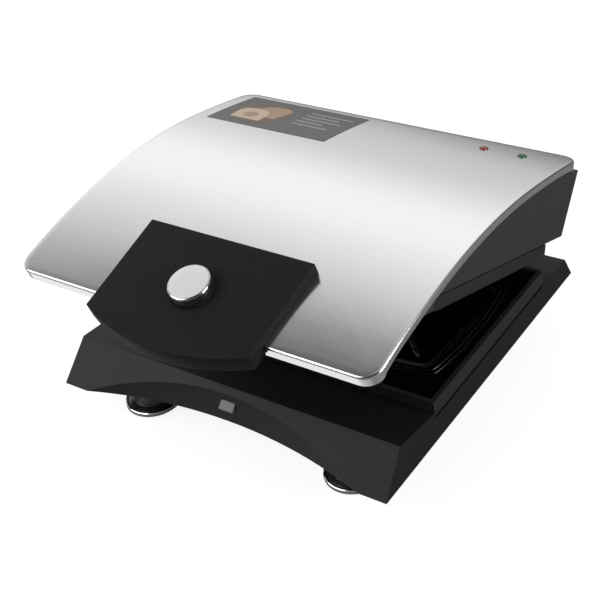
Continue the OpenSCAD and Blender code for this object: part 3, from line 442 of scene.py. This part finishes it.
def make_materials():
    """All materials by name: the record's slots, and the extra tones of scene pieces."""
    cap_brushing = (1.0, 0.05, 1.0)
    cover_brushing = (0.02, 1.0, 1.0)
    return {
        "black_housing": plastic("black_housing", (0.011, 0.011, 0.0113), 0.42, gloss=0.2),
        "dark_plastic": plastic("dark_plastic", (0.02, 0.02, 0.02), 0.5, gloss=0.25),
        "foot_plastic": plastic("foot_plastic", (0.015, 0.015, 0.015), 0.25),
        "bright_trim": metal("bright_trim", (0.75, 0.75, 0.77), 0.16),
        "brushed_cap": metal("brushed_cap", (0.97, 0.97, 0.98), 0.35, cap_brushing, 0.02, 1500.0, share=0.15),
        "foot_rubber": plastic("foot_rubber", (0.02, 0.02, 0.02), 0.8),
        "zinc_steel": metal("zinc_steel", (0.6, 0.6, 0.63), 0.35),
        "plate_rim": plastic("plate_rim", (0.022, 0.022, 0.0225), 0.45, gloss=0.15),
        "nonstick": plastic("nonstick", (0.002, 0.002, 0.002), 0.2, 0.05, gloss=0.25),
        "heater_sheath": metal("heater_sheath", (0.35, 0.33, 0.31), 0.5),
        "aluminised_sheet": metal("aluminised_sheet", (0.7, 0.7, 0.7), 0.4),
        "catch_grey": plastic("catch_grey", (0.2, 0.2, 0.2), 0.4),
        "ceramic": plastic("ceramic", (0.8, 0.77, 0.7), 0.5),
        "wire_sleeve": plastic("wire_sleeve", (0.55, 0.5, 0.15), 0.6),
        "satin_steel": metal("satin_steel", (0.93, 0.93, 0.93), 0.17, cover_brushing, 0.02, 1800.0),
        "lid_housing": plastic("lid_housing", (0.036, 0.036, 0.037), 0.5, gloss=0.15),
        "red_lens": tinted_lens("red_lens", (0.3, 0.015, 0.012)),
        "green_lens": tinted_lens("green_lens", (0.01, 0.12, 0.04)),
        "lamp_glass": tinted_lens("lamp_glass", (0.9, 0.7, 0.5)),
        "label_film": plastic("label_film", (0.11, 0.11, 0.11), 0.3),
        "print_brown": plastic("print_brown", (0.17, 0.12, 0.08), 0.35),
        "print_tan": plastic("print_tan", (0.5, 0.33, 0.2), 0.35),
        "print_cream": plastic("print_cream", (0.75, 0.57, 0.42), 0.35),
        "print_pale": plastic("print_pale", (0.5, 0.5, 0.5), 0.35),
        "handle_black": plastic("handle_black", (0.02, 0.02, 0.02), 0.45, gloss=0.05),
    }


# Pieces


def rim_depth(length, total):
    """Depth of the cover's flange: deeper along the front and rear edges."""
    from_end = min(length, total - length)
    t = max(0.0, min(1.0, (FLANGE_REACH - from_end) / FLANGE_BLEND))
    return SIDE_FLANGE + (FRONT_FLANGE - SIDE_FLANGE) * t * t * (3 - 2 * t)


def make_cover():
    """The pressed steel cover with its rounded rim, as one closed skin."""
    total = cover_length()

    def ring(inset, depth, depth_from_rim=0.0):
        loop = rounded_rect(COVER_HALF - inset, inset, total - inset, COVER_CORNER - inset)
        points = []
        for x, length in loop:
            at = depth + depth_from_rim * rim_depth(length, total)
            points.append(cover_point(x, length, at))
        return points

    insets = [COVER_CORNER + 10 * k for k in range(12)]
    loops = [ring(0, 0, 1.0)]
    loops += [ring(0, EDGE_ROUND + 0.6)]
    loops += [ring(inset, depth) for inset, depth in edge_arc(EDGE_ROUND, 6)]
    loops += [ring(5, 0), ring(8, 0)]
    loops += [ring(inset, 0) for inset in insets]
    outer = len(loops)
    loops += [ring(inset, COVER_T) for inset in reversed(insets)]
    loops += [ring(8, COVER_T), ring(5, COVER_T)]
    inner_arc = [(inset + COVER_T, depth + COVER_T) for inset, depth in edge_arc(EDGE_ROUND - COVER_T, 4)]
    loops += [ring(inset, depth) for inset, depth in reversed(inner_arc)]
    loops += [ring(COVER_T, 0, 1.0), ring(0, 0, 1.0)]
    count = len(loops[0])
    points = [p for loop in loops for p in loop]
    faces = []
    for i in range(len(loops) - 1):
        if i == outer - 1:
            faces.append(tuple(range(i * count, (i + 1) * count)))
            faces.append(tuple(range((i + 2) * count - 1, (i + 1) * count - 1, -1)))
            continue
        for k in range(count):
            a = i * count + k
            b = i * count + (k + 1) % count
            faces.append((a, b, b + count, a + count))
    return make_mesh("steel_cover", points, faces)


def handle_outline(inset, rear=HANDLE_BACK):
    """The handle's plan as (x, up) points, with its bowed front edge."""
    bow_r = (HANDLE_HALF**2 + HANDLE_BOW**2) / (2 * HANDLE_BOW)
    half = HANDLE_HALF - inset
    centre = HANDLE_TIP + bow_r
    corner = centre - math.sqrt((bow_r - inset) ** 2 - half**2)
    steps = 12
    loop = [(half, corner + (rear - inset - corner) * k / steps) for k in range(steps)]
    loop += [(half - 2 * half * k / steps, rear - inset) for k in range(steps)]
    loop += [(-half, rear - inset + (corner - rear + inset) * k / steps) for k in range(steps)]
    arc_steps = 40
    for k in range(arc_steps):
        x = -half + 2 * half * k / arc_steps
        loop.append((x, centre - math.sqrt((bow_r - inset) ** 2 - x**2)))
    return loop


def cover_out(up):
    """Height of the cover's face in the handle's frame, on its front arc."""
    radius = COVER_ARCS[0][0] * COVER_SCALE
    lean = math.radians(COVER_SLOPE) - HANDLE_SLOPE
    return math.sqrt(radius**2 - (up - radius * math.sin(lean)) ** 2) - radius * math.cos(lean)


def make_handle():
    """The handle's top shell with rounded edges and the button's bore."""

    def low(up):
        return cover_out(up) + 0.02 if up > 0 else HANDLE_SPLIT

    loops = [[handle_point(x, up, low(up)) for x, up in handle_outline(HANDLE_WALL)]]
    loops.append([handle_point(x, up, low(up)) for x, up in handle_outline(0)])
    for inset, depth in edge_arc(HANDLE_EDGE, 4):
        loops.append([handle_point(x, up, HANDLE_TOP - depth) for x, up in handle_outline(inset)])
    points, faces = bridge(loops)
    count = len(loops[0])
    first = (len(loops) - 1) * count
    flat = [Vector((x, up, 0)) for x, up in handle_outline(HANDLE_EDGE)]
    steps = 72
    hole = []
    for k in range(steps):
        a = -2 * math.pi * k / steps
        hole.append(Vector((BORE_R * math.cos(a), BUTTON_UP + BORE_R * math.sin(a), 0)))
    for tri in tessellate_polygon([flat, hole]):
        faces.append(tuple(first + i if i < count else len(points) + i - count for i in tri))
    points += [handle_point(p.x, p.y, HANDLE_TOP) for p in hole]
    start = len(points)
    points += [handle_point(p.x, p.y, HANDLE_TOP - BORE_DEPTH) for p in hole]
    for k in range(steps):
        a = start - steps + k
        b = start - steps + (k + 1) % steps
        faces.append((a, b, b + steps, a + steps))
    thing = make_mesh("handle_plate", points, faces, smooth=False)
    smooth_by_angle(thing)
    return thing


def smooth_by_angle(thing, degrees=28):
    """Shades a mesh smooth where its faces meet at less than the angle."""
    mesh = thing.data
    mesh.polygons.foreach_set("use_smooth", [True] * len(mesh.polygons))
    mesh.set_sharp_from_angle(angle=math.radians(degrees))


def make_grip():
    """The underside of the handle in front of the cover."""
    joint = handle_outline(GRIP_GAP, GRIP_REAR + GRIP_GAP)
    loops = [[handle_point(x, up, HANDLE_SPLIT) for x, up in joint]]
    for inset, depth in edge_arc(HANDLE_EDGE, 4)[:-1]:
        loops.append([handle_point(x, up, GRIP_LOW + depth) for x, up in handle_outline(inset, GRIP_REAR)])
    loops.append([handle_point(x, up, GRIP_LOW) for x, up in handle_outline(HANDLE_EDGE, GRIP_REAR)])
    points, faces = bridge(loops, closed_start=True, closed_end=True)
    thing = flip(make_mesh("handle_grip", points, faces))
    smooth_by_angle(thing)
    return thing


def on_button(x, y, out):
    """A point about the button's axis: out from the handle's frame."""
    return handle_point(x, BUTTON_UP + y, out)


def make_button():
    """The button's bright band, its brushed face and its black collar."""
    band = [(CAP_R - 1, BAND_LOW), (CAP_R, BAND_LOW + 0.1), (CAP_R, CAP_FACE - 1.5)]
    band += [(CAP_R - 0.1, CAP_FACE - 1.15), (CAP_R - 0.4, CAP_FACE - 0.6), (CAP_R - 0.9, CAP_FACE - 0.25)]
    band += [(CAP_R - 1.2, CAP_FACE - 0.2), (CAP_R - 1.3, CAP_FACE - 0.5)]
    edge = revolve("button_band", band, on_button)
    smooth_by_angle(edge, 35)
    face = [(CAP_R - 1.3, CAP_FACE - 0.5), (CAP_R - 1.4, CAP_FACE - 0.2), (CAP_R - 1.8, CAP_FACE - 0.1)]
    face += [(CAP_R * 0.5, CAP_FACE), (0.05, CAP_FACE)]
    cap = revolve("button_face", face, on_button)
    smooth_by_angle(cap, 20)
    sleeve = [(CAP_R, COLLAR_LOW), (CAP_R, BAND_LOW - 0.3)]
    sleeve += [(CAP_R - 1.1, BAND_LOW - 0.2), (CAP_R - 1.1, BAND_LOW + 0.7)]
    collar = revolve("button_collar", sleeve, on_button)
    smooth_by_angle(collar)
    return edge, cap, collar


def cell_distance(x, y):
    """How far a point lies outside a cell's bulging edge; negative inside."""
    back_x = CELL_BOW - CELL_W / 2
    back_y = CELL_BOW - CELL_D / 2
    sides = (
        math.hypot(x + back_x, y) - CELL_BOW,
        math.hypot(x - back_x, y) - CELL_BOW,
        math.hypot(x, y + back_y) - CELL_BOW,
        math.hypot(x, y - back_y) - CELL_BOW,
    )
    top = max(sides)
    return top + math.log(sum(math.exp(CELL_CORNER * (side - top)) for side in sides)) / CELL_CORNER


def cell_radius(angle, inset):
    """Distance from the cell's middle to the line that lies inset inside its edge."""
    low = 0.0
    high = CELL_W
    for _ in range(30):
        middle = (low + high) / 2
        if cell_distance(middle * math.cos(angle), middle * math.sin(angle)) < -inset:
            low = middle
        else:
            high = middle
    return low


def ridge_height(x, y, side):
    """Height of the ridge that parts a pocket along its diagonal."""
    off = abs(x * CELL_D * side + y * CELL_W) / math.hypot(CELL_W, CELL_D)
    t = max(0.0, 1 - off / (RIDGE_W / 2))
    return RIDGE_H * t * t * (3 - 2 * t)


def make_plate(name, place):
    """A baking plate with two pockets; place turns (x, y, height over the face) into a point."""
    steps = 144
    floor_rings = 14
    floor = CELL_PROFILE[-1][1]
    half_w = PLATE_W / 2
    half_d = PLATE_D / 2
    edge = PLATE_EDGE
    outline = rounded_rect(half_w, -half_d, half_d, PLATE_CORNER)
    face_line = rounded_rect(half_w - edge, edge - half_d, half_d - edge, PLATE_CORNER - edge)
    points = [place(x, y, -PLATE_T) for x, y in outline]
    points += [place(x, y, -edge) for x, y in outline]
    points += [place(x, y, 0.0) for x, y in face_line]
    count = len(outline)
    faces = []
    for k in range(count):
        after = (k + 1) % count
        faces.append((k, after, after + count, k + count))
        faces.append((k + count, after + count, after + 2 * count, k + 2 * count))
    flat = [Vector((x, y, 0)) for x, y in face_line]
    lookup = list(range(2 * count, 3 * count))
    holes = []
    for side in (-1, 1):
        middle = side * CELL_PITCH / 2
        start = len(points)
        for inset, height in CELL_PROFILE:
            for k in range(steps):
                a = 2 * math.pi * k / steps
                reach = cell_radius(a, inset)
                points.append(place(middle + reach * math.cos(a), reach * math.sin(a), height))
        holes.append([])
        for k in range(steps):
            a = 2 * math.pi * k / steps
            reach = cell_radius(a, CELL_PROFILE[0][0])
            holes[-1].append(Vector((middle + reach * math.cos(a), reach * math.sin(a), 0)))
            lookup.append(start + k)
        last = CELL_PROFILE[-1][0]
        for ring in range(1, floor_rings):
            part = 1 - ring / floor_rings
            for k in range(steps):
                a = 2 * math.pi * k / steps
                reach = cell_radius(a, last) * part
                x = reach * math.cos(a)
                y = reach * math.sin(a)
                lift = ridge_height(x, y, side) * min(1.0, (1 - part) * 6)
                points.append(place(middle + x, y, floor + lift))
        rings = len(CELL_PROFILE) + floor_rings - 1
        for ring in range(rings - 1):
            for k in range(steps):
                a = start + ring * steps + k
                b = start + ring * steps + (k + 1) % steps
                faces.append((a, b, b + steps, a + steps))
        points.append(place(middle, 0.0, floor + RIDGE_H))
        inner = start + (rings - 1) * steps
        for k in range(steps):
            faces.append((inner + k, inner + (k + 1) % steps, len(points) - 1))
    for tri in tessellate_polygon([flat] + holes):
        faces.append(tuple(lookup[i] for i in tri))
    thing = make_mesh(name, points, faces)
    smooth_by_angle(thing, 40)
    return thing


def make_label():
    """The thin printed film on the cover, following its curve."""
    total = cover_length()
    columns = 12
    rows = 24
    points = []
    for row in range(rows + 1):
        length = total - LABEL_MARGIN - LABEL_D * (1 - row / rows)
        for column in range(columns + 1):
            x = LABEL_LEFT + LABEL_W * column / columns
            points.append(cover_point(x, length, -LABEL_T))
    faces = []
    for row in range(rows):
        for column in range(columns):
            a = row * (columns + 1) + column
            faces.append((a, a + 1, a + columns + 2, a + columns + 1))
    return make_mesh("label_film", points, faces)


def make_print(name, low, high, span, layer, rows=16):
    """A printed shape on the label; span gives its two sides at each height over the front edge."""
    start = cover_length() - LABEL_MARGIN - LABEL_D
    points = []
    for row in range(rows + 1):
        height = low + (high - low) * row / rows
        for x in span(height):
            points.append(cover_point(LABEL_LEFT + x, start + height, -LABEL_T - PRINT_T * layer))
    faces = []
    for row in range(rows):
        faces.append((2 * row, 2 * row + 1, 2 * row + 3, 2 * row + 2))
    return make_mesh(name, points, faces)


def disc_span(x, middle, radius):
    """The sides of a round shape."""

    def span(height):
        half = math.sqrt(max(radius**2 - (height - middle) ** 2, 0.01))
        return x - half, x + half

    return span


def slice_span(x, low, high, half, lean):
    """The sides of a slice of bread with a rounded top, leaning sideways as it rises."""

    def span(height):
        part = (height - low) / (high - low)
        width = half * math.sqrt(max(1 - part**6, 0.02))
        return x + lean * part - width, x + lean * part + width

    return span


def bar_span(start, length):
    """The sides of a plain bar."""
    return lambda height: (start, start + length)


def make_label_prints():
    """A plate with two slices and an egg at the left, and plain bars at the right."""
    prints = [
        (make_print("print_plate", 5, 51, disc_span(30, 28, 23), 1), "print_brown"),
        (make_print("print_back_slice", 20, 46, slice_span(33, 20, 46, 13, 5), 2), "print_tan"),
        (make_print("print_front_slice", 11, 35, slice_span(26, 11, 35, 13, -3), 3), "print_cream"),
        (make_print("print_egg", 15, 27, disc_span(25, 21, 6), 4), "print_tan"),
    ]
    for index, length in enumerate(BAR_LENGTHS):
        low = BAR_TOP - BAR_STEP * index
        bar = make_print(f"print_bar_{index + 1}", low, low + BAR_H, bar_span(BAR_LEFT, length), 1, 1)
        prints.append((bar, "print_pale"))
    return prints


def make_feet():
    """The four turned feet and their bright rings."""
    body = [(0.05, 2), (FOOT_R - 2, 2), (FOOT_R - 2, 4.2), (FOOT_R - 3, 4.8), (FOOT_R - 6, 6)]
    body += [(FOOT_R * 0.62, 11), (FOOT_R * 0.56, 18), (FOOT_R * 0.52, FOOT_H)]
    ring = [(FOOT_R - RING_WALL, RING_LOW), (FOOT_R - 0.6, RING_LOW), (FOOT_R - 0.1, 1.6), (FOOT_R, 2.2)]
    ring += [(FOOT_R, 3.6), (FOOT_R - 0.2, 4.2), (FOOT_R - 0.7, RING_TOP)]
    ring += [(FOOT_R - RING_WALL, RING_TOP), (FOOT_R - RING_WALL, RING_LOW)]
    made = []
    for side, across in (("left", -FOOT_X), ("right", FOOT_X)):
        for end, along in zip(("front", "rear"), FOOT_YS):

            def place(x, y, z, across=across, along=along):
                return base_point(across + x, along + y, z)

            foot = revolve(f"foot_{end}_{side}", body, place)
            band = revolve(f"foot_band_{end}_{side}", ring, place)
            smooth_by_angle(foot)
            smooth_by_angle(band)
            made.append((foot, band))
    return made


# Stage, light and camera


def seen_directly(tree):
    """The Light Path node, and 1 where a ray comes from the camera, also through glass."""
    path = tree.nodes.new("ShaderNodeLightPath")
    direct = math_node(tree, "MAXIMUM", path.outputs["Is Camera Ray"], path.outputs["Is Transmission Ray"])
    return path, direct


def split_place(tree, space):
    """The x, y and z of a texture space."""
    where = tree.nodes.new("ShaderNodeTexCoord")
    split = tree.nodes.new("ShaderNodeSeparateXYZ")
    tree.links.new(where.outputs[space], split.inputs["Vector"])
    return split.outputs["X"], split.outputs["Y"], split.outputs["Z"]


def make_stage():
    """A white floor that keeps the object's soft shadow."""
    corners = ((-4, -4, 0), (4, -4, 0), (4, 4, 0), (-4, 4, 0))
    floor = make_mesh("floor", [Vector(corner) for corner in corners], [(0, 1, 2, 3)])
    material, tree, shader = new_material("floor_white")
    shader.inputs["Base Color"].default_value = (0.25, 0.25, 0.25, 1)
    shader.inputs["Roughness"].default_value = 0.6
    shader.inputs["Emission Color"].default_value = (1, 1, 1, 1)
    path, seen = seen_directly(tree)
    x, y, _ = split_place(tree, "Object")
    across = ranged(tree, x, *MIRRORED_RIGHT, MIRRORED_NEAR, MIRRORED_FAR)
    along = ranged(tree, y, *MIRRORED_FRONT, MIRRORED_FAR, MIRRORED_NEAR)
    under = ranged(tree, y, *MIRRORED_UNDER, MIRRORED_NEAR, MIRRORED_FAR)
    mirrored = math_node(tree, "MINIMUM", across, math_node(tree, "MINIMUM", along, under))
    mirrored = math_node(tree, "MULTIPLY", path.outputs["Is Glossy Ray"], mirrored)
    glow = math_node(tree, "MAXIMUM", math_node(tree, "MULTIPLY", seen, FLOOR_GLOW), mirrored)
    tree.links.new(glow, shader.inputs["Emission Strength"])
    floor.data.materials.append(material)


def make_world():
    """White where the camera looks past the object; a soft grey studio for reflections and fill."""
    world = bpy.data.worlds.new("studio")
    bpy.context.scene.world = world
    world.use_nodes = True
    tree = world.node_tree
    background = tree.nodes["Background"]
    x, y, z = split_place(tree, "Generated")
    aside = math_node(tree, "MULTIPLY", x, -STUDIO_TILT)
    aside = math_node(tree, "MAXIMUM", aside, 0.0)
    height = math_node(tree, "ADD", aside, z)
    ramp = tree.nodes.new("ShaderNodeValToRGB")
    stops = ramp.color_ramp.elements
    stops[1].color = (*[STUDIO[-1][1]] * 3, 1)
    stops[0].color = (*[STUDIO[0][1]] * 3, 1)
    for place, bright in STUDIO[1:-1]:
        stops.new(place / STUDIO_TOP).color = (bright, bright, bright, 1)
    tree.links.new(math_node(tree, "DIVIDE", height, STUDIO_TOP), ramp.inputs["Fac"])
    behind = ranged(tree, y, *STUDIO_FRONT_FADE, STUDIO_FRONT, 1.0)
    beside = ranged(tree, x, *STUDIO_RIGHT_FADE, 1.0, STUDIO_RIGHT)
    level = math_node(tree, "MULTIPLY", ramp.outputs["Color"], behind)
    level = math_node(tree, "MULTIPLY", level, beside)
    _, seen = seen_directly(tree)
    mix = tree.nodes.new("ShaderNodeMix")
    mix.data_type = "RGBA"
    mix.inputs["B"].default_value = (1, 1, 1, 1)
    tree.links.new(seen, mix.inputs["Factor"])
    tree.links.new(level, mix.inputs["A"])
    tree.links.new(mix.outputs["Result"], background.inputs["Color"])


def add_area(name, place, target, side, power):
    """A square lamp that faces its target."""
    light = bpy.data.lights.new(name, "AREA")
    light.shape = "RECTANGLE"
    light.size = side
    light.size_y = side
    light.energy = power
    thing = bpy.data.objects.new(name, light)
    bpy.context.scene.collection.objects.link(thing)
    thing.location = place
    thing.rotation_euler = (Vector(target) - Vector(place)).to_track_quat("-Z", "Y").to_euler()


def make_camera():
    """The camera at the photograph's viewing angle."""
    azimuth = math.radians(CAMERA_AZIMUTH)
    elevation = math.radians(CAMERA_ELEVATION)
    roll = math.radians(CAMERA_ROLL)
    back = Vector(
        (
            math.sin(azimuth) * math.cos(elevation),
            -math.cos(azimuth) * math.cos(elevation),
            math.sin(elevation),
        )
    )
    right = Vector((math.cos(azimuth), math.sin(azimuth), 0))
    up = back.cross(right)
    across = math.cos(roll) * right - math.sin(roll) * up
    upward = math.sin(roll) * right + math.cos(roll) * up
    place = (Vector(CAMERA_TARGET) + back * CAMERA_DISTANCE) * MM
    camera = bpy.data.cameras.new("photo_camera")
    camera.sensor_width = SENSOR_MM
    camera.lens = CAMERA_FOCAL_PX / PHOTO_PX * SENSOR_MM
    camera.clip_start = 0.01
    thing = bpy.data.objects.new("photo_camera", camera)
    bpy.context.scene.collection.objects.link(thing)
    turn = Matrix((across, upward, back)).transposed()
    thing.matrix_world = Matrix.Translation(place) @ turn.to_4x4()
    bpy.context.scene.camera = thing


def dress(thing, body, material):
    """Puts a piece on its body and gives it its material."""
    thing.data.materials.append(material)
    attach(thing, body)
    return thing


def main():
    """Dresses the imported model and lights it."""
    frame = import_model()
    materials = make_materials()
    slots = {part["node"]: part["material_slot"] for part in frame["record"]["subparts"]}
    for name, node in frame["nodes"].items():
        node.data.materials.clear()
        node.data.materials.append(materials[slots[name]])

    cover = dress(make_cover(), "lid", materials["satin_steel"])
    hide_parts("lid_cover")
    handle = dress(make_handle(), "lid", materials["handle_black"])
    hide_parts("handle_top")
    grip = dress(make_grip(), "lid", materials["handle_black"])
    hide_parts("handle_underside")
    edge, cap, collar = make_button()
    dress(edge, "button", materials["bright_trim"])
    dress(cap, "button", materials["brushed_cap"])
    dress(collar, "button", materials["handle_black"])
    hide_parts("button_cap")
    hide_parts("button_cap")
    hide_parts("button_body")
    for foot, band in make_feet():
        dress(foot, "base", materials["foot_plastic"])
        dress(band, "base", materials["bright_trim"])
        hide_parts("feet")
        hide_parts("foot_rings")

    lower = make_plate("lower_baking_plate", lambda x, y, h: base_point(x, y, FACE_Z + h))
    dress(lower, "base", materials["nonstick"])
    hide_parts("lower_plate")
    upper = flip(make_plate("upper_baking_plate", lambda x, y, h: lid_point(x, y, UPPER_FACE_Z - h)))
    dress(upper, "lid", materials["nonstick"])
    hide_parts("upper_plate")
    label = dress(make_label(), "lid", materials["label_film"])
    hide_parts("printed_label")
    for shape, tone in make_label_prints():
        dress(shape, "lid", materials[tone])
        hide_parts("printed_label")

    make_stage()
    make_world()
    for name, place, target, side, power in LAMPS:
        add_area(name, place, target, side, power)
    make_camera()
    bpy.context.scene.view_settings.view_transform = "Standard"


main()
